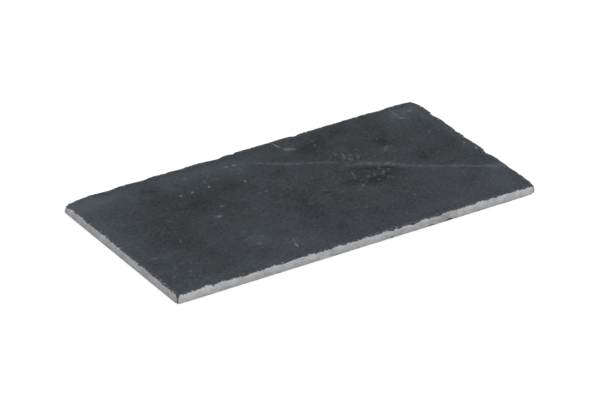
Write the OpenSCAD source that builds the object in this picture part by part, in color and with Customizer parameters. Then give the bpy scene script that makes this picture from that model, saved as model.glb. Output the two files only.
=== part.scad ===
// Rectangular board of riven natural slate on four peel-and-stick pads.
// Frame: origin under the middle of the board on the surface it stands on,
// +X along its length, +Y towards its rear edge, +Z up. Millimetres.

/* [Slab] */
// Length of the slab at its widest
slab_l = 250; // [225:1:330]
// Width of the slab at its widest
slab_w = 132.5; // [115:0.5:180]
// Thickness between the two split faces
slab_t = 5.5; // [4.5:0.1:8]

/* [Dressed edges] */
// How far the upper edge stands back from the foot of the dressed face
edge_lean = 0.15; // [0.05:0.05:1]
// Slow wander of the upper edge, in and out
edge_wander = 0.1; // [0:0.05:0.6]
// Depth of the spalls along the edges, as a share of their real depth
spall_scale = 1; // [0.2:0.1:1.3]
// Spacing of the points along the edges
edge_step = 2.5; // [2:0.5:5]
// Loss of thickness at the flaked rear left corner
flake_drop = 1.8; // [0.2:0.1:2.5]
// Distance from that corner to the crease where the flake starts
flake_reach = 12; // [6:1:20]

/* [Feet] */
// Diameter of each soft pad
pad_d = 10; // [8:0.5:13]
// Height of each soft pad
pad_h = 1.7; // [1.2:0.1:3]
// Rounding of the pad's lower rim
pad_round = 0.5; // [0.2:0.1:0.8]
// Thickness of the adhesive disc that holds a pad
tape_h = 0.3; // [0.2:0.05:0.5]
// Distance from the slab's sides to the centre of a pad
pad_inset = 20; // [15:1:30]

/* [Hidden] */

slate_colour = "#3e4245";
pad_colour = "#26282a";
tape_colour = "#d8d6cc";

slab_z = pad_h + tape_h;        // underside of the slab
tape_edge = 0.4;                // the adhesive disc stops this far inside the pad's rim
pad_x = slab_l / 2 - pad_inset;
pad_y = slab_w / 2 - pad_inset;

// The sides run front, right, rear, left, anticlockwise seen from above.
// A place on the front or rear side is its X, on the left or right side its Y.
FRONT = 0;
RIGHT = 1;
REAR = 2;
LEFT = 3;
sides = [FRONT, RIGHT, REAR, LEFT];
side_length = [slab_l, slab_w, slab_l, slab_w];
side_across = [slab_w, slab_l, slab_w, slab_l];
side_sense = [1, 1, -1, -1];    // +1 where the ring travels along +X or +Y

// Spalls knocked off the upper edge: [place, half length, depth] for each side.
upper_spalls = [
    [[-105, 6, 2.0], [-95, 5, 1.4], [-60, 3.5, 1.7], [-35, 3.5, 1.5], [-16, 3.5, 1.3],
     [4, 2.5, 0.9], [45, 3.5, 1.0], [64, 2.5, 0.9], [76, 5, 0.8], [84, 4.5, 1.7], [98, 8, 0.8],
     [112, 4, 1.1], [119, 3, 0.9]],
    [[-69, 8, 1.2], [-17, 6, 1.3], [6, 5, 0.8], [16, 4, 1.0], [41, 6, 1.0], [61, 4, 1.0],
     [67, 9, 2.1]],
    [[-125, 3, 1.2], [-97, 9, 1.0], [-74, 8, 0.9], [-22, 9, 1.4], [-8, 3, 1.0], [36, 4, 1.2],
     [97, 8, 0.9], [121, 7, 1.0]],
    [[17, 4, 1.0], [44, 3.5, 0.8], [55, 4.5, 0.8], [66, 5, 1.9]]];
// Flakes gone from the lower edge, in the same form, which leave it undercut.
lower_spalls = [
    [[125, 2.5, 1.2]],
    [[-66, 3, 1.8], [30, 10, 0.5]],
    [[-125, 3, 1.2], [-60, 12, 0.5], [70, 9, 0.6]],
    [[66, 5, 1.3]]];

// Waves along the edges: [degrees for each millimetre, height, degrees from side to side].
// Their lengths never fall in step.
edge_waves = [[11.3, 1, 71], [23.9, 0.7, 37], [47.1, 0.5, 113]];

lower_break = 0.15;             // the lower edge is broken by this much everywhere
spall_dip = 0.1;                // a spall lowers the upper edge by this share of its depth
rim_width = 1.2;                // width of the worn rim between the split face and the edge

// Rings from the underside up: [share of the height, share of the upper edge's setback].
// The first ring is the lower edge, which has its own setback.
rings = [[0, 0], [0.12, 0], [0.5, 0.22], [0.82, 0.6], [1, 1]];
top_ring = len(rings) - 1;

function spall(list, at) =
    spall_scale * max([for (s = list) s[2] * max(0, 1 - pow((at - s[0]) / s[1], 2))]);

// Sum of the edge waves at a place on a side, as a share from 0 to 1.
function wave(side, at) =
    let (
        heights = [for (w = edge_waves) w[1]],
        swings = [for (w = edge_waves) sin(at * w[0] + side * w[2])])
    0.5 + 0.5 * (swings * heights) / (heights * [1, 1, 1]);

function upper_setback(side, at) =
    edge_lean + edge_wander * wave(side, at) + spall(upper_spalls[side], at);

function lower_setback(side, at) = lower_break + spall(lower_spalls[side], at);

function setback(side, at, ring) =
    ring == 0 ? lower_setback(side, at)
    : ring > top_ring ? upper_setback(side, at) + rim_width
    : rings[ring][1] * upper_setback(side, at);

// Height above the underside, before the flaked corner is taken off.
function height(side, at, ring) =
    ring > top_ring ? slab_t
    : rings[ring][0] * (slab_t - spall_dip * spall(upper_spalls[side], at));

// The crease of the flake crosses the rear left corner at 45 degrees.
flake_normal = [-sqrt(0.5), sqrt(0.5)];
crease = [-slab_l / 2, slab_w / 2] * flake_normal - flake_reach;
function past_crease(p) = max(0, p * flake_normal - crease);
function flaked(p, z) = min(z, slab_t - flake_drop * past_crease(p) / flake_reach);

// A point of a ring. share runs from 0 to 1 along the side.
function ring_point(side, share, ring) =
    let (
        at = side_sense[side] * (share - 0.5) * side_length[side],
        before = (side + 3) % 4,
        after = (side + 1) % 4,
        start = setback(before, side_sense[before] * side_length[before] / 2, ring),
        end = setback(after, -side_sense[after] * side_length[after] / 2, ring),
        along = -side_length[side] / 2 + start + share * (side_length[side] - start - end),
        out = side_across[side] / 2 - setback(side, at, ring),
        p = side == FRONT ? [along, -out]
            : side == RIGHT ? [out, along]
            : side == REAR ? [-along, out]
            : [-out, -along],
        z = height(side, at, ring))
    ring > top_ring
        ? concat(p - past_crease(p) * flake_normal, slab_t)
        : concat(p, ring == top_ring ? flaked(p, z) : min(z, flaked(p, slab_t) * rings[ring][0]));

function ring_points(ring) = [
    for (side = sides)
        let (steps = round(side_length[side] / edge_step))
        for (i = [0 : steps - 1]) ring_point(side, i / steps, ring)];

// Closed solid through rings of equal length, the first at the bottom. Each end is a flat
// fan about its middle.
module loft(stack) {
    n = len(stack[0]);
    last = len(stack) - 1;
    lower_middle = (last + 1) * n;
    upper_middle = lower_middle + 1;
    points = concat([for (ring = stack) each ring],
                    [[0, 0, stack[0][0].z], [0, 0, stack[last][0].z]]);
    walls = [
        for (r = [0 : last - 1], i = [0 : n - 1])
            let (a = r * n + i, b = r * n + (i + 1) % n)
            each [[a, a + n, b + n], [a, b + n, b]]];
    ends = [
        for (i = [0 : n - 1])
            let (j = (i + 1) % n)
            each [[lower_middle, i, j], [upper_middle, last * n + j, last * n + i]]];
    polyhedron(points, concat(walls, ends), convexity = 4);
}

module slate_slab() {
    color(slate_colour)
        translate([0, 0, slab_z])
            loft([for (ring = [0 : top_ring + 1]) ring_points(ring)]);
}

// Soft disc with a rounded lower rim, standing on the surface.
module pad(side_x, side_y) {
    r = pad_d / 2;
    color(pad_colour)
        translate([side_x * pad_x, side_y * pad_y, 0])
            rotate_extrude($fn = 96)
                union() {
                    translate([0, pad_round]) square([r, pad_h - pad_round]);
                    square([r - pad_round, pad_h]);
                    intersection() {
                        translate([r - pad_round, pad_round]) circle(pad_round, $fn = 48);
                        square([r, pad_h]);
                    }
                }
}

module tape(side_x, side_y) {
    color(tape_colour)
        translate([side_x * pad_x, side_y * pad_y, pad_h])
            cylinder(h = tape_h, r = pad_d / 2 - tape_edge, $fn = 96);
}

slate_slab();
pad(-1, -1);  // foot_pad_front_left
pad(1, -1);  // foot_pad_front_right
pad(-1, 1);  // foot_pad_rear_left
pad(1, 1);  // foot_pad_rear_right
tape(-1, -1);  // foot_tape_front_left
tape(1, -1);  // foot_tape_front_right
tape(-1, 1);  // foot_tape_rear_left
tape(1, 1);  // foot_tape_rear_right
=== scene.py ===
"""The looks of a riven slate board: one slab of split slate with hand-dressed edges, on four rubber pads.

Places and sizes on the slab are in millimetres from the middle of its underside, with x along its
length, y across it towards the rear edge and z up. They become metres when a mesh is made.
"""

import math

import bpy
import numpy as np
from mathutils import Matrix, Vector


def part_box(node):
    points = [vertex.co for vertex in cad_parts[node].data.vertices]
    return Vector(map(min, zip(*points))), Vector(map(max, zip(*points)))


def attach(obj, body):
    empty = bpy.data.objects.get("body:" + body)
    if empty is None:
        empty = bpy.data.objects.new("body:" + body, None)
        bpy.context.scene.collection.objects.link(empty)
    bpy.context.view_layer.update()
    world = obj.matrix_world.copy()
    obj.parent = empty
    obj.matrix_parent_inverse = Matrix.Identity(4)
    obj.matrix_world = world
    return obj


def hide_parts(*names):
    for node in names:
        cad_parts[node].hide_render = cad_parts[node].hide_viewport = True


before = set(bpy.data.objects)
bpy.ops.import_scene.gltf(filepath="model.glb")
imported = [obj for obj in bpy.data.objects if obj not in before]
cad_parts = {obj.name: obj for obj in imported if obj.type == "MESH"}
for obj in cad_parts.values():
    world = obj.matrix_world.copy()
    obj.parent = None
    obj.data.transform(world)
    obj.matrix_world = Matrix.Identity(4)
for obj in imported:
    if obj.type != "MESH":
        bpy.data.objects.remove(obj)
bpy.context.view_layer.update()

MM = 0.001
slab_low, slab_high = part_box("slate_slab")
LENGTH, WIDTH, THICKNESS = ((slab_high - slab_low) / MM)[:]
HALF = (LENGTH / 2, WIDTH / 2)
SLAB_ORIGIN = Vector(((slab_low.x + slab_high.x) / 2, (slab_low.y + slab_high.y) / 2, slab_low.z))


def add_object(name, data):
    thing = bpy.data.objects.new(name, data)
    bpy.context.scene.collection.objects.link(thing)
    return thing


def towards(azimuth, elevation):
    """Unit vector at angles in radians. Azimuth 0 is to the front and a quarter turn is to the right."""
    level = math.cos(elevation)
    return Vector((math.sin(azimuth) * level, -math.cos(azimuth) * level, math.sin(elevation)))


def face_along(thing, direction):
    thing.rotation_mode = "QUATERNION"
    thing.rotation_quaternion = direction.to_track_quat("-Z", "Y")


# ---------------------------------------------------------------- camera

CAMERA_AZIMUTH = math.radians(-32.42)
CAMERA_ELEVATION = math.radians(28.49)
CAMERA_DISTANCE = 2.55
CAMERA_LENS = 256.5
CAMERA_SENSOR = 36
CAMERA_AIM = SLAB_ORIGIN + Vector((1.41, 2.26, 0)) * MM


def add_camera():
    data = bpy.data.cameras.new("camera")
    data.lens = CAMERA_LENS
    data.sensor_width = CAMERA_SENSOR
    data.clip_start = 0.1
    data.clip_end = 50
    camera = add_object("camera", data)
    back = towards(CAMERA_AZIMUTH, CAMERA_ELEVATION)
    camera.location = CAMERA_AIM + back * CAMERA_DISTANCE
    face_along(camera, -back)
    bpy.context.scene.camera = camera


# ---------------------------------------------------------------- random surfaces

NOISE_CELLS = 256
OCTAVE_TURN = math.radians(37)
# Surfaces with several octaves use the numbers that follow their seed as well.
SEEDS = {
    "pits": 5, "specks": 6, "wander": 11, "broad_laminae": 21, "short_laminae": 22, "foot": 31, "ragged": 32,
    "nibbles": 40, "seam_x": 61, "seam_y": 64, "rim": 71, "flake": 72, "wash_x": 81, "wash_y": 84,
    "upper": 100, "under": 300,
}


def smooth(t):
    """Eases a share between 0 and 1."""
    t = np.clip(t, 0, 1)
    return t * t * (3 - 2 * t)


def bumps(x, y, size, seed):
    """Smooth random heights between -1 and 1, with bumps about size across."""
    table = np.random.default_rng(seed).uniform(-1, 1, (NOISE_CELLS, NOISE_CELLS))
    gx, gy = x / size, y / size
    ix, iy = np.floor(gx).astype(int), np.floor(gy).astype(int)
    fx, fy = smooth(gx - ix), smooth(gy - iy)

    def corner(dx, dy):
        return table[(iy + dy) % NOISE_CELLS, (ix + dx) % NOISE_CELLS]

    near = corner(0, 0) * (1 - fx) + corner(1, 0) * fx
    far = corner(0, 1) * (1 - fx) + corner(1, 1) * fx
    return near * (1 - fy) + far * fy


def rough(x, y, size, octaves, seed):
    """Bumps on bumps, each half the size and height of the last."""
    total, height = 0.0, 1.0
    for octave in range(octaves):
        total = total + height * bumps(x, y, size, seed + octave)
        x, y = (
            x * math.cos(OCTAVE_TURN) - y * math.sin(OCTAVE_TURN),
            x * math.sin(OCTAVE_TURN) + y * math.cos(OCTAVE_TURN),
        )
        size, height = size / 2, height / 2
    return total


def terraces(level, ramp):
    """Turns a smooth level into flat steps one unit high, with edges that take a share ramp of each."""
    whole = np.floor(level)
    return whole + smooth((level - whole) / ramp)


# ---------------------------------------------------------------- the dressed edges

# A side runs along x or y; its places are that coordinate.
ALONG = {"front": 0, "right": 1, "rear": 0, "left": 1}
# Added to a side's places in random surfaces, so that no two sides are alike.
PERIMETER_START = {"front": 0, "right": 300, "rear": 500, "left": 800}

EDGE_LEAN = {"front": 0.1, "right": 0.0, "rear": 0.0, "left": 0.2}
EDGE_WANDER = 0.08
WANDER_SIZE = 17
BROAD_LAMINAE = {"height": 0.11, "length": 6, "thickness": 0.9}
SHORT_LAMINAE = {"height": 0.05, "length": 1.3, "thickness": 0.5}
LAMINAE_SETBACK = 0.03
# The relief fades out over this height above the lower edge.
RELIEF_FADE = 0.8
# Share of the upper edge's setback at shares of the height.
LEAN_HEIGHTS = (0, 0.12, 0.5, 0.82, 1)
LEAN_SHARES = (0, 0, 0.22, 0.6, 1)
LOWER_BREAK = 0.15
LOWER_BREAK_HEIGHT = 0.1
EDGE_BAND = 8.0

# Scoops knocked off the upper edge: place, half length, depth, reach down the side.
UPPER_SPALLS = {
    "front": [
        (-115, 3, 1.0, 2.6), (-106, 6, 2.3, 4.8), (-99, 4, 1.3, 3.2), (-95, 5, 1.4, 3.4), (-88, 5, 0.6, 2.0),
        (-60, 3.5, 1.7, 3.6), (-35, 3.5, 1.5, 3.2), (-16, 3.5, 1.3, 2.8), (4, 2.5, 0.9, 2.4),
        (45, 3.5, 1.0, 3.0), (64, 2.5, 0.9, 2.4), (76, 5, 0.8, 2.4), (84, 4.5, 1.7, 4.4), (92, 4, 0.9, 2.6),
        (98, 8, 0.8, 2.6), (110.5, 4, 1.1, 3.2), (119, 3, 0.9, 3.0),
    ],
    "right": [
        (-69, 8, 1.2, 16), (-17, 6, 1.3, 4.2), (6, 5, 0.8, 2.6), (16, 4, 1.0, 2.8),
        (41, 6, 1.0, 3.4), (61, 4, 1.0, 4.0), (65.5, 9, 3.0, 8.0),
    ],
    "rear": [
        (-126, 4, 1.1, 20), (-97, 9, 1.0, 3.4), (-74, 8, 0.9, 3.0), (-46, 7, 0.6, 2.6), (-22, 9, 1.4, 4.8),
        (-8, 3, 1.0, 2.4), (36, 4, 1.2, 3.2), (97, 8, 0.9, 3.2), (121, 7, 1.0, 3.4),
    ],
    "left": [
        (-29, 5, 0.6, 2.4), (-12, 4, 0.4, 1.6), (6, 3, 0.6, 1.8), (17, 4, 1.0, 3.4),
        (24, 1.5, 0.7, 1.6), (44, 3.5, 0.8, 3.0), (55, 4.5, 0.8, 2.8), (66, 5, 2.0, 20),
    ],
}
# Older chips, in the same form, whose faces have the dark skin of the split faces.
OLD_CHIPS = {
    "front": [
        (-125, 1.3, 0.38, 9), (-100.7, 0.7, 0.5, 1.3), (-80.5, 5, 0.45, 1.0), (-68, 2, 0.3, 0.7),
        (-54, 3, 0.3, 0.6), (-11, 2, 0.5, 0.9), (-1, 2, 0.3, 0.6), (10, 2, 0.3, 0.6), (21.3, 4, 0.6, 1.9),
        (26.5, 3, 0.6, 1.5), (36, 6, 0.7, 1.7), (54, 4.5, 0.5, 1.0), (124.2, 2.4, 0.9, 1.5),
    ],
    "right": [(-40, 4, 0.5, 1.2), (28, 3, 0.5, 1.1)],
    "rear": [(14, 3, 0.3, 1.0), (66, 5, 0.3, 1.4)],
    "left": [
        (-66, 1.1, 0.38, 9), (-50.5, 2, 0.4, 0.9), (-23, 3, 0.4, 0.7), (36, 3, 0.3, 0.6), (66, 3, 1.6, 1.4),
    ],
}
# Flakes gone from the lower edge, in the same form, reaching up the side.
LOWER_SPALLS = {
    "front": [(-125, 1.5, 0.6, 1.2), (125, 2.5, 1.2, 1.6)],
    "right": [(-66, 3, 1.8, 2.6), (30, 10, 0.5, 0.9)],
    "rear": [(-60, 12, 0.5, 0.9), (70, 9, 0.6, 0.9)],
    "left": [(-66, 1.5, 0.6, 1.2)],
}
# Darkening along the foot of a side, in the same form, with its strength in place of depth: partly the dark
# skin of the underside, partly painted shade of the undercuts and of the floor under the lower edge.
FOOT_SKIN_AND_SHADE = {
    "front": [
        (-125, 1.1, 0.28, 5), (21.5, 1.8, 1.2, 1.7), (46, 9, 1, 1.0), (61, 4.8, 1.2, 1.9),
        (82, 4, 1, 0.9), (99, 10, 1, 0.8),
    ],
    "right": [(-30, 9, 1, 0.6), (44, 6, 1, 0.5)],
    "rear": [(-90, 11, 1, 0.6), (18, 8, 1, 0.5)],
    "left": [(-66, 1.0, 0.28, 5), (-40, 6, 1, 0.4)],
}
# A skinned patch has a ragged border, which takes this depth of chip on average.
RAGGED_DEPTH = 0.12
RAGGED_LENGTH = 1.2
RAGGED_THICKNESS = 0.8
# The foot is fully darkened from this strength.
FULL_FOOT_DARKNESS = 0.4
# Bareness at the very foot, the height that would add 1 to it, and its swing along the side. Below 1 the foot
# is darkened, which is painted shade along the lower edge.
FOOT_BARENESS = 0.55
FOOT_BARENESS_RISE = 0.9
FOOT_BARENESS_SWING = 0.5
FOOT_BARENESS_LENGTH = 2.2
NIBBLE_SPACING = 1.3
NIBBLE_HALF_LENGTHS = (0.4, 1.8)
NIBBLE_DEPTHS = (0.02, 0.57)
NIBBLE_REACHES = (0.3, 1.8)
SCOOP_SKEW = 0.4
# A scoop's depth falls with these powers of the distance down its side and along it.
SCOOP_FALL_DOWN = 1.2
SCOOP_FALL_ALONG = 1.6
SPALL_DIP = 0.1
RIM_WIDTH = 1.2

# The rear left corner has lost a flake, from a crease at 45 degrees.
FLAKE_DROP = 1.8
FLAKE_REACH = 12.0


def nibbles(side, seed):
    """Small random scoops all along a side's upper edge, mostly shallow, in the form of UPPER_SPALLS."""
    rng = np.random.default_rng(seed)
    half = HALF[ALONG[side]]
    count = int(2 * half / NIBBLE_SPACING)
    shallow, deep = NIBBLE_DEPTHS
    return list(zip(
        rng.uniform(-half, half, count),
        rng.uniform(*NIBBLE_HALF_LENGTHS, count),
        shallow + (deep - shallow) * rng.uniform(0, 1, count) ** 2,
        rng.uniform(*NIBBLE_REACHES, count),
    ))


NIBBLES = {side: nibbles(side, SEEDS["nibbles"] + i) for i, side in enumerate(ALONG)}


def scooped(scoops, place, distance):
    """Depth of the deepest scoop at places along a side, at a distance from the edge it opens on.

    A scoop slopes gently on one side of its deepest point and breaks off steeply on the other.
    """
    depth = np.zeros(np.broadcast(place, distance).shape)
    for centre, half, deepest, reach in scoops:
        opening = np.clip(1 - distance / reach, 0, 1) ** SCOOP_FALL_DOWN
        t = np.clip((place - centre) / half, -1, 1)
        away = np.abs(t - SCOOP_SKEW * (1 - t * t))
        depth = np.maximum(depth, deepest * (opening - away**SCOOP_FALL_ALONG))
    return depth


def laminae(way, z, form, seed):
    """Random relief that is longer along a side than it is high."""
    return form["height"] * bumps(way / form["length"], z / form["thickness"], 1, seed)


def setback(side, place, z):
    """How far the side's surface stands inside the slab's full outline at a place and height."""
    way = PERIMETER_START[side] + place
    share = z / THICKNESS
    wander = EDGE_WANDER * (0.5 + 0.5 * rough(way, 0 * way, WANDER_SIZE, 2, SEEDS["wander"]))
    lean = (EDGE_LEAN[side] + wander) * np.interp(share, LEAN_HEIGHTS, LEAN_SHARES)
    spalls = scooped(UPPER_SPALLS[side] + OLD_CHIPS[side] + NIBBLES[side], place, THICKNESS - z)
    undercut = np.where(z < LOWER_BREAK_HEIGHT, LOWER_BREAK, 0) + scooped(LOWER_SPALLS[side], place, z)
    broad = laminae(way, z, BROAD_LAMINAE, SEEDS["broad_laminae"])
    short = laminae(way, z, SHORT_LAMINAE, SEEDS["short_laminae"])
    above_foot = smooth(z / RELIEF_FADE)
    return np.maximum(lean + spalls + undercut + (broad + short + LAMINAE_SETBACK) * above_foot, 0)


def bareness(side, place, z):
    """How bare of dark skin and of painted shade at its foot a side is at a place and height, from 0 to 1."""
    way = PERIMETER_START[side] + place
    ragged = RAGGED_DEPTH * (1 + bumps(way / RAGGED_LENGTH, z / RAGGED_THICKNESS, 1, SEEDS["ragged"]))
    chipped = smooth((scooped(OLD_CHIPS[side], place, THICKNESS - z) - ragged) / RAGGED_DEPTH)
    dark_foot = smooth(scooped(FOOT_SKIN_AND_SHADE[side], place, z) / FULL_FOOT_DARKNESS)
    swing = FOOT_BARENESS_SWING * bumps(way, 0 * place, FOOT_BARENESS_LENGTH, SEEDS["foot"])
    above_foot = smooth(FOOT_BARENESS + z / FOOT_BARENESS_RISE + swing)
    return (1 - chipped) * (1 - dark_foot) * above_foot


def gap(side, x, y):
    """Distance from points on the slab's plan to the full outline of a side."""
    return {"front": HALF[1] + y, "rear": HALF[1] - y, "left": HALF[0] + x, "right": HALF[0] - x}[side]


def edge_distance(x, y):
    """Distance from points on the slab's plan to its nearest full outline."""
    return np.minimum.reduce([gap(side, x, y) for side in ALONG])


def warped(x, y, z):
    """Moves points of a plain rectangular slab so that its border takes the dressed outline."""
    moves = {}
    for side in ALONG:
        place = (x, y)[ALONG[side]]
        near = np.clip(1 - gap(side, x, y) / EDGE_BAND, 0, 1)
        moves[side] = np.zeros(len(x))
        chosen = near > 0
        moves[side][chosen] = near[chosen] * setback(side, place[chosen], z[chosen])
    return x + moves["left"] - moves["right"], y + moves["front"] - moves["rear"]


def past_crease(x, y):
    """Distance of points beyond the crease of the corner's flake, or 0 before it."""
    return np.maximum(0, (y - x - HALF[0] - HALF[1]) / math.sqrt(2) + FLAKE_REACH)


# ---------------------------------------------------------------- marks on the split faces

# A thin raised seam crosses the upper face in two strokes: x, y, strength, half width. Its pale colour is a
# painted highlight where the step faces the light.
SEAM = [
    (-8, 52.5, 0.3, 0.9), (3, 43.5, 0.6, 1.0), (12, 37.5, 0.7, 1.2), (25, 31, 0.7, 1.3),
    (38, 23.8, 0.7, 1.4), (41.5, 21.5, 0, 1.5), (42, 15.6, 0, 1.5), (44, 15.2, 0.75, 2.0),
    (52, 13.2, 0.65, 2.4), (63, 5.5, 0.6, 2.5), (72, -1.5, 0.65, 2.4), (79, -8, 0.65, 1.9),
    (92, -16, 0.7, 1.4), (108, -26, 0.75, 1.2), (125, -36, 0.6, 1.2),
]
SEAM_HEIGHT = 0.08

# Pale bruises: x, y, half length, half width, heading in degrees, strength.
BRUISES = [
    (-61, 36, 0.9, 0.7, 0, 0.9), (-53, 36, 1, 0.7, 0, 0.8), (-41, 37, 1.1, 0.7, 60, 1),
    (-19, 31.5, 1.2, 0.8, 80, 0.7), (-19, 53, 1, 0.7, 0, 0.7), (-14, 52.2, 1.4, 0.8, 0, 0.7),
    (-48, 52.5, 1.3, 1, 0, 0.3), (-40, 44, 0.9, 0.5, 30, 0.5), (-55, 2, 1.7, 1, 0, 0.55),
    (-15, 14, 1.2, 0.8, 0, 0.3), (-35, -51.5, 2.2, 0.7, 80, 0.8), (-33, -46, 2.5, 0.5, 70, 0.35),
    (-52, -38, 1.8, 1.3, 0, 0.3), (-46.7, -31.5, 2.4, 1.4, 0, 0.12), (-90, -11.5, 1.2, 0.6, 70, 0.35),
    (-113, -21, 2.5, 0.8, 160, 0.25), (20.9, 60.3, 4.4, 0.5, 100, 0.85), (24.3, 52.4, 2.7, 2.1, 150, 0.45),
    (27.2, 50.8, 2.0, 1.1, 130, 0.4), (42.5, 53.5, 1, 0.7, 0, 0.45), (41, 48, 0.9, 0.7, 60, 0.35),
    (105, 58, 5.5, 0.8, 90, 0.28), (105.8, 49.5, 1.9, 0.8, 148, 0.45), (115, 55, 1.4, 0.9, 0, 0.5),
    (120, 2, 0.9, 0.7, 0, 0.9), (122, -7.5, 1.2, 0.8, 60, 0.9), (77.5, 35, 0.9, 0.6, 0, 0.5),
    (75.5, 21.8, 3, 1.1, 45, 0.24), (79.5, 22.8, 1.6, 0.5, 170, 0.3), (45, 30.4, 1, 0.8, 0, 0.4),
    (48, 26.5, 3.8, 0.8, 68, 0.35), (49.3, 22, 1.2, 0.9, 30, 0.45), (55.3, 21.5, 2.6, 0.7, 60, 0.28),
    (110, 26, 1.4, 0.9, 60, 0.3), (104, 14, 2.6, 0.4, 75, 0.25), (40, 2.8, 5.2, 0.8, 72, 0.28),
    (37.8, -10.8, 1.6, 1.1, 60, 0.36), (33, -14, 2.2, 0.7, 30, 0.22), (47, -3, 1.8, 1.1, 30, 0.22),
    (57.5, -2.8, 1.8, 1.1, 60, 0.36), (57, -9.5, 1.5, 0.9, 30, 0.25), (66, 5, 2.2, 0.8, 45, 0.28),
    (29.5, 7.5, 1.6, 0.8, 160, 0.15), (27, 12.5, 1.4, 0.8, 60, 0.15), (15, -4, 2.6, 0.4, 140, 0.2),
    (-83, 12.5, 1.6, 0.8, 120, 0.25), (-47, 12.2, 1.6, 0.9, 30, 0.3), (24.5, -34.4, 1, 0.8, 0, 0.35),
]
# Hollows where small flakes have come away, in the same form. Their dark colour is painted shade in the
# hollows.
HOLLOWS = [
    (50.5, 6.3, 1.9, 1.2, 120, 0.55), (56, 5, 2.2, 1.2, 150, 0.6), (60.5, 1.5, 2.6, 1.2, 150, 0.6),
    (64, -1.5, 2.4, 1.1, 150, 0.6), (48, 0.5, 1, 0.8, 0, 0.6), (51.5, 0.5, 1.5, 0.8, 40, 0.55),
    (57.5, -1, 1.2, 1, 90, 0.5), (51, -6.2, 2.6, 1.3, 170, 0.75), (58.5, -6.5, 1.8, 1.3, 170, 0.8),
    (54, -10, 1.3, 0.8, 30, 0.5), (44.5, -9.5, 1.8, 1.2, 120, 0.5), (70, -6.8, 1.4, 1, 0, 0.65),
    (36, -4.5, 2.6, 1.8, 130, 0.3), (40, -8, 1.6, 1.2, 100, 0.3), (62, -9, 1.6, 0.9, 20, 0.35),
    (46, -17, 1.3, 1, 60, 0.5), (15, -6.8, 2.6, 1, 145, 0.65), (14.5, -17.5, 1.4, 1, 140, 0.5),
    (27.5, -23, 2.6, 0.7, 40, 0.35), (49.5, 26, 2.2, 0.8, 68, 0.5), (46.5, 20.5, 1.2, 0.7, 30, 0.6),
    (51, 19.5, 1.6, 0.7, 30, 0.5), (43, 30, 1.8, 1.2, 100, 0.35), (78.5, 30.3, 4, 1.9, 145, 0.45),
    (75, 34, 1.4, 1, 0, 0.4), (88.8, -0.8, 2.8, 1.4, 130, 0.7),
]
# Where small random marks crowd: x, y, spread along x and y, number, strongest. The pits are darkened with
# painted shade, as the hollows are.
PIT_CROWDS = [(55, -2, 9, 6, 60, 0.65), (50, 24, 6, 5, 14, 0.6), (0, 0, 85, 45, 170, 0.45)]
SPECK_CROWDS = [
    (56, -2, 9, 6, 22, 0.35), (50, 24, 6, 5, 22, 0.3), (-20, 46, 10, 4, 16, 0.3),
    (-108, -45, 10, 10, 16, 0.25), (0, 0, 85, 45, 120, 0.2),
]
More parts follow.
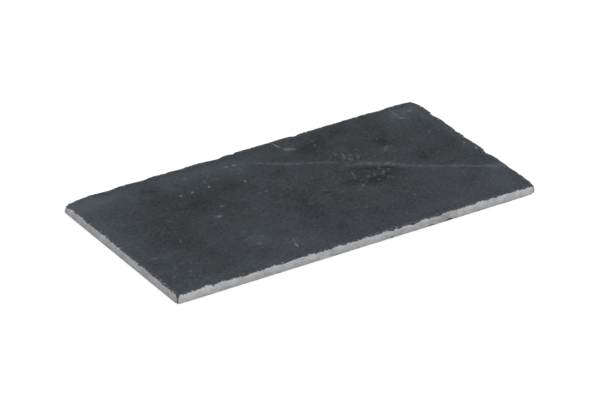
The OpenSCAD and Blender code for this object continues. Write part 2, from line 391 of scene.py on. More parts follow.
# Broad patches lighter or darker than the rest by a share, in the form of BRUISES.
TONES = [
    # Lighter.
    # The first patch, the strongest, at the rear left corner, is a painted highlight on the leaning face of
    # the flake.
    (-118, 57, 13, 8, 0, 1.05), (-120, 18, 8, 32, 0, 0.46), (-97, 58, 13, 6, 0, 0.5),
    (-104, 48, 7, 7, 0, 0.18), (-58, 60, 15, 5, 0, 0.3), (-33, 55, 24, 7, 0, 0.36),
    (-50, 53, 4, 4, 0, 0.15), (-14, 53, 8, 5, 0, 0.32), (25, 52, 5, 4, 0, 0.25), (20, 60, 3, 6, 0, 0.15),
    (4, 58, 7, 5, 0, 0.15), (2, 49, 6, 4, 0, 0.15), (104, 55, 8, 9, 0, 0.42), (115, 57, 9, 6, 0, 0.65),
    (121, 20, 4, 30, 0, 0.38), (50, 31, 11, 3, 75, 0.2), (75, 22, 4, 3, 0, 0.25), (118, -32, 7, 4, 150, 0.6),
    (-50, -34, 7, 7, 0, 0.4), (-44, -45, 7, 8, 0, 0.15), (-33, -47, 4, 8, 0, 0.28),
    (-110, -22, 5, 4, 0, 0.2), (-55, 2, 4, 3, 0, 0.3), (-47, 12, 4, 3, 0, 0.2), (-96, -60, 24, 6, 0, 0.32),
    (-103, -45, 9, 6, 0, 0.15), (-57, -61, 12, 5, 0, 0.28), (-20, -57, 11, 8, 0, 0.3),
    (60, -56, 40, 6, 0, 0.14), (112, -62, 9, 4, 0, 0.2), (113, -48, 11, 14, 0, 0.36),
    (-30, -6, 18, 26, 0, 0.08), (-38, -22, 10, 9, 0, 0.22), (-20, -43, 6, 6, 0, 0.15),
    (62, 8, 22, 5, 145, 0.19), (-112, 34, 8, 12, 0, 0.15), (-86, 49, 6, 5, 0, 0.3), (-66, -50, 8, 6, 0, 0.15),
    (100, 12, 6, 5, 0, 0.12), (-112, 62, 10, 4, 0, 0.3), (-25, 47, 7, 5, 0, 0.15), (-9, -3, 5, 9, 0, 0.18),
    (119, 42, 6, 9, 0, 0.35), (95, -29, 9, 5, 150, 0.16), (76, 60, 8, 4, 0, 0.12),
    # Darker.
    (-55, 22, 17, 12, 20, -0.48), (-72, 52, 7, 6, 0, -0.42), (-78, 38, 9, 6, 0, -0.2),
    (-28, 31, 9, 6, 0, -0.38), (-85, 3, 14, 12, 0, -0.29), (-88, -16, 10, 9, 0, -0.2),
    (-68, -12, 9, 6, 0, -0.22), (-56, -24, 6, 8, 0, -0.12),
    (-4, -14, 20, 9, 88, -0.32), (7, 31, 9, 5, 0, -0.31), (38, 46, 13, 7, 20, -0.46),
    (47, 57, 3, 6, 0, -0.3), (61, 56, 7, 5, 20, -0.34), (58, 36, 9, 7, 0, -0.25),
    (78.5, 31, 5, 6, 0, -0.45), (88, 1, 4, 6, 20, -0.2), (104, 6, 14, 14, 0, -0.2), (88, 26, 6, 6, 0, -0.15),
    # The darker patches from x 15 to 65 about y 0, below the seam, are painted shade of the rough, stepped
    # ground there.
    (45, -8, 15, 5, 170, -0.42), (33, -2, 6, 4, 150, -0.15), (56, 4, 6, 3, 150, -0.45),
    (46, 5, 7, 8, 0, -0.22), (63, -1, 7, 3, 140, -0.35), (15, -6, 6, 3, 150, -0.2),
    (40, -40, 26, 7, 170, -0.19), (45, -24, 34, 12, 170, -0.14), (18, -16, 8, 9, 0, -0.2),
    (-42, 9, 13, 11, 0, -0.2), (-13, -13, 6, 8, 0, -0.12), (55, -7, 7, 4, 0, -0.3), (9, -33, 6, 18, 0, -0.15),
    (1, -49, 7, 11, 0, -0.22), (42, 2, 17, 13, 150, -0.2), (28, 30, 7, 6, 0, -0.15),
    (-20, 18, 12, 6, 0, -0.12), (-98, -10, 14, 7, 0, -0.2), (-118, -28, 6, 6, 0, -0.2),
    (95, -11, 12, 4, 0, -0.3),
    (70, 47, 5, 8, 20, -0.2), (-62, 36, 6, 4, 0, -0.12), (46, 27, 6, 5, 0, -0.25), (10, 24, 8, 5, 0, -0.12),
    (-15, 33, 5, 4, 0, -0.12), (4, 16, 7, 6, 0, -0.1), (16, 43, 6, 6, 0, -0.15), (22, -58, 14, 5, 0, -0.12),
]
# Where the face has a violet bloom, in the same form.
BLOOMS = [
    (-52, -47, 15, 6, 125, 0.9), (-34, -46, 16, 7, 90, 0.6), (-19, -42, 17, 9, 80, 0.9),
    (-6, -24, 9, 5, 60, 0.4), (12, -47, 11, 7, 150, 0.9), (38, -52, 15, 6, 60, 0.8),
    (-35, -59, 22, 5, 0, 0.5), (56, -59, 26, 6, 0, 0.5), (98, -25, 22, 7, 147, 0.9),
    (88, -42, 26, 17, 45, 0.75), (110, -52, 12, 12, 0, 0.4),
]
# Lighter and darker stretches of the dressed faces, in the same form.
FACE_TONES = [
    (-110, -66, 12, 8, 0, 0.09), (-77, -66, 6, 8, 0, -0.08), (-24, -66, 22, 8, 0, -0.03),
    (60, -66, 11, 8, 0, -0.16), (118, -66, 8, 8, 0, 0.08), (92, -66, 12, 8, 0, 0.04),
    (-125, -50, 8, 8, 0, 0.07), (125, -66, 1.8, 8, 0, -0.3),
]
# Where the dressed faces have a cool cast, in the same form.
FACE_CASTS = [
    (-97, -66, 8, 8, 0, 1), (-52, -66, 9, 8, 0, 0.9), (-20, -66, 5, 8, 0, 1), (12, -66, 9, 8, 0, 0.8),
    (36, -66, 8, 8, 0, 0.4), (95, -66, 10, 8, 0, 0.6), (122, -66, 5, 8, 0, 1), (-125, -50, 8, 5, 0, 0.5),
    (-125, -24, 8, 6, 0, 0.7), (-125, 0, 8, 6, 0, 1), (-125, 21, 8, 5, 0, 1), (-125, 42, 8, 4, 0, 0.9),
    (125, -34, 8, 12, 0, 0.8), (125, 18, 8, 14, 0, 0.8), (-80, 66, 15, 8, 0, 0.8), (-5, 66, 18, 8, 0, 0.9),
    (75, 66, 14, 8, 0, 0.8),
]
# Marks reach this far, in squares of their half sizes.
MARK_REACH = 1.6
# How far the seam and the patches stray from their drawn shapes, and the length over which they do.
SEAM_STRAY = 0.7
SEAM_STRAY_SIZE = 6
WASH_STRAY = 2.5
WASH_STRAY_SIZE = 9


def strayed(x, y, reach, size, name):
    """Points moved at random, by about reach."""
    return (
        x + reach * rough(x, y, size, 2, SEEDS[name + "_x"]),
        y + reach * rough(x, y, size, 2, SEEDS[name + "_y"]),
    )


def crowd(crowds, seed):
    """Small random ovals, in the form of BRUISES."""
    rng = np.random.default_rng(seed)
    shapes = []
    for x, y, spread_x, spread_y, count, strongest in crowds:
        for _ in range(count):
            half = rng.uniform(0.5, 1.5)
            shapes.append((
                x + spread_x * rng.normal(), y + spread_y * rng.normal(), half, half * rng.uniform(0.4, 0.8),
                rng.uniform(0, 180), strongest * rng.uniform(0.2, 1),
            ))
    return shapes


def off_centre(shape, x, y):
    """Square of the distance of points from an oval's centre, 1 on its outline."""
    centre_x, centre_y, half_length, half_width, heading, _ = shape
    turn = math.radians(heading)
    dx, dy = x - centre_x, y - centre_y
    along = (dx * math.cos(turn) + dy * math.sin(turn)) / half_length
    across = (dy * math.cos(turn) - dx * math.sin(turn)) / half_width
    return along**2 + across**2


def marks(shapes, x, y):
    """Strength between 0 and 1 of soft oval marks at points."""
    strength = np.zeros(len(x))
    for shape in shapes:
        peak = shape[-1]
        strength = np.maximum(strength, peak * smooth(MARK_REACH - off_centre(shape, x, y)))
    return strength


def washes(shapes, x, y):
    """Sum of soft patches at points, each fading from its centre without an edge."""
    total = np.zeros(len(x))
    x, y = strayed(x, y, WASH_STRAY, WASH_STRAY_SIZE, "wash")
    for shape in shapes:
        peak = shape[-1]
        total += peak * np.exp(-off_centre(shape, x, y))
    return total


def seam_strength(x, y):
    """Strength of the seam at points: its nearest stretch's, fading with distance from it."""
    best = np.zeros(len(x))
    x, y = strayed(x, y, SEAM_STRAY, SEAM_STRAY_SIZE, "seam")
    for (x0, y0, s0, w0), (x1, y1, s1, w1) in zip(SEAM, SEAM[1:]):
        length2 = (x1 - x0) ** 2 + (y1 - y0) ** 2
        t = np.clip(((x - x0) * (x1 - x0) + (y - y0) * (y1 - y0)) / length2, 0, 1)
        away = np.hypot(x - x0 - t * (x1 - x0), y - y0 - t * (y1 - y0))
        fade = np.exp(-((away / (w0 + t * (w1 - w0))) ** 2))
        best = np.maximum(best, (s0 + t * (s1 - s0)) * fade)
    return best


# ---------------------------------------------------------------- relief of the split faces

# The upper face stays below the slab's top by about this much, and marks reach up into it.
HEADROOM = 0.1
SWELL_HEIGHT = 0.07
SWELL_SIZE = 60
STEP_HEIGHT = 0.05
STEP_RAMP = 0.25
STEPS_IN_LIE = 2.2
LIE_SIZE = 26
GRAIN_HEIGHT = 0.025
GRAIN_SIZE = 3.2
PIT_DEPTH = 0.25
BRUISE_HEIGHT = 0.04
RIM_WEAR = 0.03
RIM_WEAR_SIZE = 4
FLAKE_GRAIN = 0.06
FLAKE_GRAIN_SIZE = 2.5
# The skin is paler near the edges, and frayed where it meets the fracture.
RIM_TONE = 0.3
RIM_TONE_WIDTH = 3.5
FRAY = 0.46
FRAY_FALL = 0.06
FRAY_WIDTH = 4
# The underside rises by about this much between the feet, from a flat patch round each.
UNDER_RISE = 0.16
UNDER_HIGHEST = 0.6
UNDER_RIM_WIDTH = 2
FOOT_FLAT = 5.5
FOOT_BLEND = 4


def riven(x, y, seed):
    """Height of a split face: long swells, cleavage steps and grain, mostly within 0.2 of zero."""
    swell = SWELL_HEIGHT * rough(x, y, SWELL_SIZE, 2, seed)
    lie = rough(x * 0.8 + y * 0.5, y * 1.3 - x * 0.4, LIE_SIZE, 4, seed + 10)
    steps = STEP_HEIGHT * terraces(STEPS_IN_LIE * lie, STEP_RAMP)
    grain = GRAIN_HEIGHT * rough(x, y, GRAIN_SIZE, 2, seed + 20)
    return swell + steps + grain


def upper_face(x, y):
    """Height of the upper face and its marks at points of the plan."""
    nearest = edge_distance(x, y)
    # The pits carry painted shade as well as their depth.
    pits = marks(HOLLOWS + crowd(PIT_CROWDS, SEEDS["pits"]), x, y)
    seam = seam_strength(x, y)
    bruise = marks(BRUISES + crowd(SPECK_CROWDS, SEEDS["specks"]), x, y)
    raised = SEAM_HEIGHT * seam + BRUISE_HEIGHT * bruise
    relief = riven(x, y, SEEDS["upper"]) - PIT_DEPTH * pits + raised
    relief = np.where(relief > 0, HEADROOM * np.tanh(relief / HEADROOM), relief)
    height = THICKNESS - HEADROOM + relief
    rim = np.clip(1 - nearest / RIM_WIDTH, 0, 1)
    dip = np.zeros(len(x))
    for side in ALONG:
        place = (x, y)[ALONG[side]]
        near = gap(side, x, y) < RIM_WIDTH
        scoops = scooped(UPPER_SPALLS[side], place[near], np.zeros(near.sum()))
        dip[near] = np.maximum(dip[near], SPALL_DIP * scoops)
    worn = RIM_WEAR * (1 + bumps(x, y, RIM_WEAR_SIZE, SEEDS["rim"]))
    height = height - rim * dip - worn * rim**2
    flake = past_crease(x, y) / FLAKE_REACH
    flake_grain = FLAKE_GRAIN * bumps(x, y, FLAKE_GRAIN_SIZE, SEEDS["flake"]) * smooth(6 * flake)
    height = height - FLAKE_DROP * (flake + flake_grain)
    tone = washes(TONES, x, y) + RIM_TONE * np.clip(1 - nearest / RIM_TONE_WIDTH, 0, 1)
    bloom = np.clip(washes(BLOOMS, x, y), 0, 1)
    fray = np.where(nearest < FRAY_WIDTH, FRAY - FRAY_FALL * nearest, 0)
    skin = {"seam": seam, "bruise": bruise, "hollow_shade": pits, "tone": tone, "bloom": bloom, "fracture": fray}
    return height, skin


def under_face(x, y):
    """Height of the underside, flat where a foot is stuck to it."""
    nearest = edge_distance(x, y)
    height = np.clip(UNDER_RISE + riven(x, y, SEEDS["under"]), 0, UNDER_HIGHEST)
    height = height * smooth(nearest / UNDER_RIM_WIDTH)
    for centre in foot_centres().values():
        away = np.hypot(x - centre[0], y - centre[1])
        height = height * smooth((away - FOOT_FLAT) / FOOT_BLEND)
    return height


# ---------------------------------------------------------------- the slab's mesh

CELL = 0.5
# The coarsest cells of each face, in cells.
UPPER_CELL = 2
UNDER_CELL = 4
# Cells of a size are quartered this near the border, and on top also round marks this strong.
UPPER_BORDERS = {2: 3.0}
UNDER_BORDERS = {4: 5.0, 2: 2.0}
FINE_MARK = 0.15
WALL_HEIGHTS = (0.05, 0.11, 0.19, 0.28, 0.37, 0.46, 0.55, 0.64, 0.73, 0.81, 0.88, 0.95)
SHARP_ANGLE = math.radians(38)
# The dressed faces are palest where the blows crushed them, below the upper edge, and darker towards the foot
# with painted shade.
WALL_TONE_HEIGHTS = (0, 0.3, 0.8, 1)
WALL_TONES_AND_SHADE = (-0.12, -0.03, 0.12, 0.1)
# Their bareness fades at the upper edge, where crumbs of dark skin remain.
CRUMB_HEIGHTS = (0.78, 1)
CRUMB_SHARES = (1, 0.5)
# The lowest ring of the sides is darkened with painted shade.
LOWER_EDGE_SHADED_BARENESS = 0.45


def lattice_size():
    """Number of the finest cells along and across, in whole coarse cells."""
    return [UNDER_CELL * round(2 * half / CELL / UNDER_CELL) for half in HALF]


def plan(columns, rows):
    """Millimetres of lattice corners."""
    nx, ny = lattice_size()
    return columns * (2 * HALF[0] / nx) - HALF[0], rows * (2 * HALF[1] / ny) - HALF[1]


def square_cells(biggest, fine):
    """Squares (column, row, size) that tile the lattice, quartered wherever fine marks a corner."""
    nx, ny = lattice_size()
    todo = [(i, j, biggest) for i in range(0, nx, biggest) for j in range(0, ny, biggest)]
    cells = []
    while todo:
        i, j, size = todo.pop()
        if size > 1 and fine[size][i:i + size + 1, j:j + size + 1].any():
            half = size // 2
            todo += [(i + a, j + b, half) for a in (0, half) for b in (0, half)]
        else:
            cells.append((i, j, size))
    return cells


def cell_outline(i, j, size, used):
    """The used lattice corners round a cell, anticlockwise, so that finer neighbours share them."""
    steps = range(size)
    ring = [(i + k, j) for k in steps]
    ring += [(i + size, j + k) for k in steps]
    ring += [(i + size - k, j + size) for k in steps]
    ring += [(i, j + size - k) for k in steps]
    return [corner for corner in ring if corner in used]


def sheet_of_cells(biggest, fine):
    """Lattice corners in use, and each cell's outline as indices into them."""
    cells = square_cells(biggest, fine)
    corners = sorted({
        (i + a, j + b) for i, j, size in cells for a in (0, size) for b in (0, size)
    })
    index = {corner: k for k, corner in enumerate(corners)}
    faces = [[index[c] for c in cell_outline(*cell, index)] for cell in cells]
    return np.array(corners), index, faces


def border_corners():
    """The lattice corners round the border, anticlockwise from the front left."""
    nx, ny = lattice_size()
    ring = [(i, 0) for i in range(nx)] + [(nx, j) for j in range(ny)]
    ring += [(nx - i, ny) for i in range(nx)] + [(0, ny - j) for j in range(ny)]
    return ring


def lattice_plan():
    """Millimetres of all lattice corners, by column and row."""
    nx, ny = lattice_size()
    return plan(*np.meshgrid(np.arange(nx + 1), np.arange(ny + 1), indexing="ij"))


def within(distance):
    """Marks the lattice corners that are nearer the border than a distance."""
    x, y = lattice_plan()
    return np.minimum(HALF[0] - np.abs(x), HALF[1] - np.abs(y)) < distance


def marked():
    """Marks the lattice corners on the upper face that carry small marks."""
    plan_x, plan_y = lattice_plan()
    x, y = plan_x.ravel(), plan_y.ravel()
    detail = np.maximum(marks(BRUISES + HOLLOWS, x, y), seam_strength(x, y))
    centre_x, centre_y, spread_x, spread_y = PIT_CROWDS[0][:4]
    crowded = np.hypot((x - centre_x) / spread_x, (y - centre_y) / spread_y) < 2
    return ((detail > FINE_MARK) | crowded).reshape(plan_x.shape)


def make_slab():
    """One closed mesh: a fine sheet on top, a ribbed wall of fracture, and a coarser underside."""
    fine_upper = {size: within(border) | marked() for size, border in UPPER_BORDERS.items()}
    fine_under = {size: within(border) for size, border in UNDER_BORDERS.items()}
    upper, upper_index, upper_faces = sheet_of_cells(UPPER_CELL, fine_upper)
    under, under_index, under_faces = sheet_of_cells(UNDER_CELL, fine_under)
    ring = border_corners()
    columns, rows = np.array(ring).T

    ux, uy = plan(upper[:, 0], upper[:, 1])
    upper_z, upper_marks = upper_face(ux, uy)
    lx, ly = plan(under[:, 0], under[:, 1])
    under_z = under_face(lx, ly)
    rx, ry = plan(columns, rows)
    edge_z = upper_z[[upper_index[c] for c in ring]]

    parts = [np.stack([*warped(ux, uy, np.full(len(ux), THICKNESS)), upper_z], axis=1)]
    parts.append(np.stack([*warped(lx, ly, np.zeros(len(lx))), under_z], axis=1))
    for share in WALL_HEIGHTS:
        z = share * edge_z
        parts.append(np.stack([*warped(rx, ry, share * np.full(len(rx), THICKNESS)), z], axis=1))
    points = np.concatenate(parts)

    first_under = len(upper)
    first_wall = first_under + len(under)
    n = len(ring)
    levels = [[first_under + under_index[c] for c in ring]]
    levels += [[first_wall + r * n + k for k in range(n)] for r in range(len(WALL_HEIGHTS))]
    levels.append([upper_index[c] for c in ring])
    faces = list(upper_faces)
    faces += [[first_under + k for k in reversed(face)] for face in under_faces]
    for low, high in zip(levels, levels[1:]):
        faces += [[low[k], low[(k + 1) % n], high[(k + 1) % n], high[k]] for k in range(n)]

    mesh = bpy.data.meshes.new("riven_slate_slab")
    mesh.from_pydata(points * MM + np.array(SLAB_ORIGIN), [], faces)
    mesh.validate()

    for name, strength in upper_marks.items():
        values = np.zeros(len(points))
        values[:len(upper)] = strength
        if name == "fracture":
            crumbs = np.interp(WALL_HEIGHTS, CRUMB_HEIGHTS, CRUMB_SHARES)
            rings = [crumb * bare_ring(rx, ry, share) for crumb, share in zip(crumbs, WALL_HEIGHTS)]
            values[first_wall:] = np.concatenate(rings)
            values[levels[0]] = LOWER_EDGE_SHADED_BARENESS
            values[levels[-1]] = CRUMB_SHARES[-1] * bare_ring(rx, ry, 1)
        if name == "tone":
            rise = np.interp(WALL_HEIGHTS, WALL_TONE_HEIGHTS, WALL_TONES_AND_SHADE)
            values[first_wall:] = np.add.outer(rise, washes(FACE_TONES, rx, ry)).ravel()
        if name == "bloom":
            values[first_wall:] = np.tile(np.clip(washes(FACE_CASTS, rx, ry), 0, 1), len(WALL_HEIGHTS))
        add_attribute(mesh, name, values)

    mesh.shade_smooth()
    mesh.set_sharp_from_angle(angle=SHARP_ANGLE)
    return add_object("riven_slate_slab", mesh)


def bare_ring(x, y, share):
    """How bare the side is at border points, at a share of the slab's height."""
    bare = np.ones(len(x))
    for side in ALONG:
        on = gap(side, x, y) < CELL / 2
        place = (x, y)[ALONG[side]][on]
        bare[on] = np.minimum(bare[on], bareness(side, place, np.full(len(place), share * THICKNESS)))
    return bare


def add_attribute(mesh, name, values):
    attribute = mesh.attributes.new(name, "FLOAT", "POINT")
    attribute.data.foreach_set("value", np.asarray(values, np.float32))


# ---------------------------------------------------------------- the feet

FEET = ("front_left", "front_right", "rear_left", "rear_right")
PAD_STEPS = 96
PAD_RIM = 0.5
PAD_CUP = 0.12
PAD_GROOVES = 3
PAD_GROOVE_DEPTH = 0.06
PAD_FOOT_WIDTH = 2.2


def foot_centres():
    """Millimetres of each foot's centre on the slab's plan."""
    centres = {}
    for foot in FEET:
        low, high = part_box("foot_pad_" + foot)
        middle = (low + high) / 2 - SLAB_ORIGIN
        centres[foot] = (middle.x / MM, middle.y / MM)
    return centres


def pad_profile(radius, height):
    """Radius and height of points from the underside's middle, round the rim, to the top's middle."""
    profile = [(0.02, PAD_CUP)]
    inner = radius - PAD_FOOT_WIDTH
    steps = 12
    for k in range(1, steps + 1):
        groove = PAD_GROOVE_DEPTH * (0.5 - 0.5 * math.cos(2 * math.pi * PAD_GROOVES * k / steps))
        profile.append((inner * k / steps, PAD_CUP + groove))
    profile += [(inner + 0.2, PAD_CUP * 0.6), (inner + 0.4, 0.02), (inner + 0.6, 0)]
    for k in range(7):
        turn = math.radians(15 * k)
        profile.append((radius - PAD_RIM + PAD_RIM * math.sin(turn), PAD_RIM - PAD_RIM * math.cos(turn)))
    profile += [(radius - 0.02, 0.8), (radius - 0.06, 1.1), (radius - 0.12, height - 0.2)]
    profile += [(radius - 0.16, height - 0.06), (radius - 0.24, height), (0.02, height)]
    return profile


def make_pad(foot):
    low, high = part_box("foot_pad_" + foot)
    radius, height = (high.x - low.x) / 2 / MM, (high.z - low.z) / MM
    middle = np.array([(low.x + high.x) / 2, (low.y + high.y) / 2, low.z])
    profile = pad_profile(radius, height)
    turns = np.arange(PAD_STEPS) * 2 * math.pi / PAD_STEPS
    points = np.array([(r * math.cos(a), r * math.sin(a), z) for r, z in profile for a in turns])
    n = PAD_STEPS
    faces = [
        [k * n + i, k * n + (i + 1) % n, (k + 1) * n + (i + 1) % n, (k + 1) * n + i]
        for k in range(len(profile) - 1) for i in range(n)
    ]
    faces += [list(reversed(range(n))), [(len(profile) - 1) * n + i for i in range(n)]]
    mesh = bpy.data.meshes.new("rubber_pad_" + foot)
    mesh.from_pydata(points * MM + middle, [], faces)
    mesh.shade_smooth()
    mesh.set_sharp_from_angle(angle=SHARP_ANGLE)
    return add_object("rubber_pad_" + foot, mesh)


# ---------------------------------------------------------------- materials

class Shader:
    """A material under construction: short calls that each add one node."""

    def __init__(self, name):
        self.material = bpy.data.materials.new(name)
        self.material.use_nodes = True
        self.tree = self.material.node_tree
        self.surface = self.tree.nodes["Principled BSDF"]
        self.place = self.tree.nodes.new("ShaderNodeTexCoord").outputs["Object"]

    def link(self, source, target):
        if isinstance(source, bpy.types.NodeSocket):
            self.tree.links.new(source, target)
        else:
            target.default_value = source

    def stretched(self, sizes, turn=0):
        """Coordinates in which one unit is that many millimetres along each axis."""
        node = self.tree.nodes.new("ShaderNodeMapping")
        node.vector_type = "TEXTURE"
        node.inputs["Scale"].default_value = [size * MM for size in sizes]
        node.inputs["Rotation"].default_value = (0, 0, math.radians(turn))
        self.link(self.place, node.inputs["Vector"])
        return node.outputs["Vector"]

    def noise(self, size, detail=2, turn=0, distortion=0):
        """Noise around 0.5. size is in millimetres, one number or one for each axis."""
        sizes = (size, size, size) if isinstance(size, (int, float)) else size
        node = self.tree.nodes.new("ShaderNodeTexNoise")
        self.link(self.stretched(sizes, turn), node.inputs["Vector"])
        node.inputs["Scale"].default_value = 1
        node.inputs["Detail"].default_value = detail
        node.inputs["Distortion"].default_value = distortion
        return node.outputs["Fac"]

    def attribute(self, name):
        node = self.tree.nodes.new("ShaderNodeAttribute")
        node.attribute_name = name
        return node.outputs["Fac"]

    def math(self, operation, *values):
        node = self.tree.nodes.new("ShaderNodeMath")
        node.operation = operation
        for value, target in zip(values, node.inputs):
            self.link(value, target)
        return node.outputs[0]

    def varied(self, value, noises):
        """Adds to a value each noise's swing about 0.5, times its weight."""
        for weight, noise in noises:
            swing = self.math("SUBTRACT", noise, 0.5)
            value = self.math("MULTIPLY_ADD", swing, weight, value)
        return value

    def range(self, value, low, high, to_low=0.0, to_high=1.0):
        """Takes low..high to to_low..to_high, with eased ends."""
        node = self.tree.nodes.new("ShaderNodeMapRange")
        node.interpolation_type = "SMOOTHSTEP"
        for name, number in (("From Min", low), ("From Max", high), ("To Min", to_low), ("To Max", to_high)):
            node.inputs[name].default_value = number
        self.link(value, node.inputs["Value"])
        return node.outputs["Result"]

    def mix(self, share, a, b):
        node = self.tree.nodes.new("ShaderNodeMix")
        node.data_type = "RGBA"
        self.link(share, node.inputs["Factor"])
        for source, target in ((a, node.inputs["A"]), (b, node.inputs["B"])):
            self.link((*source, 1) if isinstance(source, tuple) else source, target)
        return node.outputs["Result"]

    def bump(self, height, distance):
        """Relief of that many millimetres for a height between 0 and 1."""
        node = self.tree.nodes.new("ShaderNodeBump")
        node.inputs["Distance"].default_value = distance * MM
        self.link(height, node.inputs["Height"])
        self.link(node.outputs["Normal"], self.surface.inputs["Normal"])


SLATE = (0.0250, 0.0303, 0.0350)
BLOOMED = (0.0268, 0.0303, 0.0410)
# Colour of the painted shade in the hollows and pits.
HOLLOW_SHADE = (0.0058, 0.008, 0.0095)
# Colour of the painted highlight along the seam's ridge.
SEAM_HIGHLIGHT = (0.13, 0.14, 0.145)
BRUISED = (0.24, 0.26, 0.27)
CRUSHED = (0.296, 0.2955, 0.302)
CRUSHED_COOL = (0.284, 0.297, 0.312)
RUBBER = (0.018, 0.019, 0.021)
DUST = (0.06, 0.06, 0.058)
GLUE = (0.56, 0.54, 0.46)
GLUE_FIBRE = (0.74, 0.72, 0.66)
# Heading of the fine lie along the cleavage, in degrees.
LIE_HEADING = -32
# A face's colour is its doubled colour times a share, about half where the tone is 0.
SPLIT_SHARE = 0.49
SPLIT_TONE_WEIGHT = 0.64
CRACKLE_WEIGHT = 0.22
DRESSED_SHARE = 0.5
DRESSED_TONE_WEIGHT = 0.5
# Stone with a frayed value above this range has no dark skin left.
BARE_FROM = 0.49
BARE_TO = 0.61
SLATE_RELIEF = 0.18
ADHESIVE_RELIEF = 0.02
RUBBER_RELIEF = 0.03


def doubled(colour):
    return tuple(2 * channel for channel in colour)


def split_colour(s):
    """Dark grey with soft clouds, a fine lie along the cleavage and a mealy grain."""
    share = s.math("MULTIPLY_ADD", s.attribute("tone"), SPLIT_TONE_WEIGHT, SPLIT_SHARE)
    share = s.varied(share, [
        (0.4, s.noise(30, 2)), (0.2, s.noise(12, 1)), (0.08, s.noise(5, 2, distortion=0.6)),
        (0.06, s.noise((6, 1.1, 6), 2, turn=LIE_HEADING)), (0.8, s.noise(1.8, 1, distortion=0.8)),
        (0.08, s.noise(0.8, 1)),
    ])
    crackle = s.range(s.noise(1.9, 1, distortion=1.5), 0.55, 0.75)
    share = s.math("MULTIPLY_ADD", crackle, CRACKLE_WEIGHT, share)
    colour = s.mix(s.attribute("bloom"), doubled(SLATE), doubled(BLOOMED))
    colour = s.mix(share, (0, 0, 0), colour)
    # Painted shade darkens the hollows and pits.
    colour = s.mix(s.math("MULTIPLY", s.attribute("hollow_shade"), 0.85), colour, HOLLOW_SHADE)
    patchy = s.range(s.noise(2.2, 2), 0.3, 0.7, 0.15, 0.55)
    # The seam's pale colour is a painted highlight along the ridge.
    colour = s.mix(s.math("MULTIPLY", s.attribute("seam"), patchy), colour, SEAM_HIGHLIGHT)
    bruise = s.math("MULTIPLY", s.attribute("bruise"), s.range(s.noise(0.9, 2), 0.3, 0.6, 0.15, 0.7))
    return s.mix(bruise, colour, BRUISED)


def dressed_colour(s):
    """Pale crushed stone, blotched and faintly streaked along the cleavage."""
    share = s.math("MULTIPLY_ADD", s.attribute("tone"), DRESSED_TONE_WEIGHT, DRESSED_SHARE)
    share = s.varied(share, [
        (0.35, s.noise(9, 2)), (0.35, s.noise((2.6, 2.6, 1.6), 2, distortion=0.5)),
        (0.25, s.noise((6, 6, 0.5), 3)), (0.2, s.noise(0.8, 2)),
    ])
    colour = s.mix(s.attribute("bloom"), doubled(CRUSHED), doubled(CRUSHED_COOL))
    return s.mix(share, (0, 0, 0), colour)


def slate_material():
    s = Shader("riven_slate")
    frayed = s.varied(s.attribute("fracture"), [(0.45, s.noise(0.8, 2)), (0.45, s.noise(1.8, 1))])
    chalked = s.mix(s.range(frayed, 0.4, 0.55, 0, 0.3), split_colour(s), CRUSHED)
    dressed = s.range(frayed, BARE_FROM, BARE_TO)
    s.link(s.mix(dressed, chalked, dressed_colour(s)), s.surface.inputs["Base Color"])
    s.link(s.range(dressed, 0, 1, 0.62, 0.9), s.surface.inputs["Roughness"])
    s.surface.inputs["Specular IOR Level"].default_value = 0.25

    lie = s.noise((5, 1, 5), 2, turn=LIE_HEADING)
    s.bump(s.varied(0.5, [(0.2, s.noise(0.8, 2)), (0.1, lie), (0.7, s.noise(2.2, 2))]), SLATE_RELIEF)
    return s.material


def rubber_material():
    s = Shader("pad_rubber")
    dust = s.range(s.noise(1.6, 3), 0.5, 0.75, 0, 0.5)
    s.link(s.mix(dust, RUBBER, DUST), s.surface.inputs["Base Color"])
    s.link(s.range(s.noise(0.8, 2), 0.3, 0.7, 0.6, 0.8), s.surface.inputs["Roughness"])
    s.surface.inputs["Specular IOR Level"].default_value = 0.4
    s.bump(s.noise(0.25, 2), RUBBER_RELIEF)
    return s.material


def adhesive_material():
    s = Shader("adhesive_film")
    fibres = s.range(s.noise((1.5, 0.12, 1), 2, turn=20), 0.35, 0.65)
    s.link(s.mix(fibres, GLUE, GLUE_FIBRE), s.surface.inputs["Base Color"])
    s.link(s.range(s.noise(0.6, 1), 0.3, 0.7, 0.35, 0.55), s.surface.inputs["Roughness"])
    s.bump(fibres, ADHESIVE_RELIEF)
    return s.material


# ---------------------------------------------------------------- stage

FLOOR_SIZE = 8.0
FLOOR_GLOW = 0.95
WORLD_LIGHT = 0.55


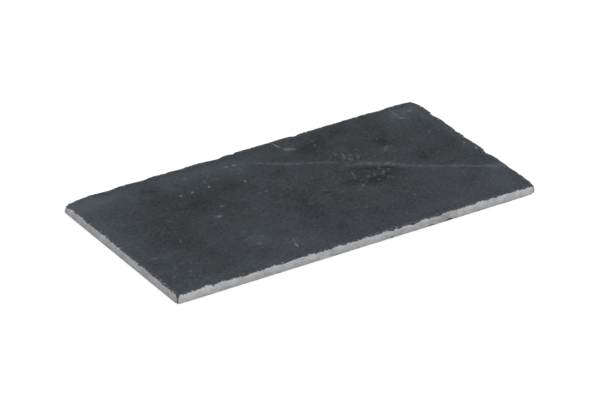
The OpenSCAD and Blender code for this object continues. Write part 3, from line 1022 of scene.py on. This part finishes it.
def floor_material():
    """White board, bright enough to lose most shadows, and clear from below."""
    s = Shader("white_floor")
    nodes = s.tree.nodes
    s.surface.inputs["Base Color"].default_value = (0.1, 0.1, 0.1, 1)
    s.surface.inputs["Roughness"].default_value = 1
    s.surface.inputs["Specular IOR Level"].default_value = 0
    s.surface.inputs["Emission Color"].default_value = (1, 1, 1, 1)
    s.surface.inputs["Emission Strength"].default_value = FLOOR_GLOW
    clear = nodes.new("ShaderNodeBsdfTransparent")
    side = nodes.new("ShaderNodeNewGeometry")
    choice = nodes.new("ShaderNodeMixShader")
    s.link(side.outputs["Backfacing"], choice.inputs["Fac"])
    s.link(s.surface.outputs["BSDF"], choice.inputs[1])
    s.link(clear.outputs["BSDF"], choice.inputs[2])
    s.link(choice.outputs["Shader"], nodes["Material Output"].inputs["Surface"])
    return s.material


def add_floor():
    half = FLOOR_SIZE / 2
    mesh = bpy.data.meshes.new("floor")
    corners = [(-half, -half, 0), (half, -half, 0), (half, half, 0), (-half, half, 0)]
    mesh.from_pydata(corners, [], [(0, 1, 2, 3)])
    mesh.materials.append(floor_material())
    floor = add_object("floor", mesh)


def add_softbox(name, azimuth, elevation, distance, size, power):
    """A square area light that faces the slab, at angles in degrees."""
    data = bpy.data.lights.new(name, "AREA")
    data.size = size
    data.energy = power
    light = add_object(name, data)
    outward = towards(math.radians(azimuth), math.radians(elevation))
    light.location = SLAB_ORIGIN + outward * distance
    face_along(light, -outward)


def add_light():
    world = bpy.data.worlds.new("studio")
    world.use_nodes = True
    background = world.node_tree.nodes["Background"]
    background.inputs["Color"].default_value = (1, 1, 1, 1)
    background.inputs["Strength"].default_value = WORLD_LIGHT
    bpy.context.scene.world = world
    add_softbox("key", azimuth=-15, elevation=60, distance=1.8, size=1.2, power=26)
    bpy.context.scene.view_settings.view_transform = "Standard"
    bpy.context.scene.view_settings.look = "None"


# ---------------------------------------------------------------- assembly

add_camera()

slab = make_slab()
slab.data.materials.append(slate_material())
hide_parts("slate_slab")
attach(slab, "root")

rubber = rubber_material()
adhesive = adhesive_material()
for foot in FEET:
    pad = make_pad(foot)
    pad.data.materials.append(rubber)
    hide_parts("foot_pad_" + foot)
    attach(pad, "root")
    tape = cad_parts["foot_tape_" + foot]
    tape.material_slots[0].material = adhesive

add_floor()
add_light()
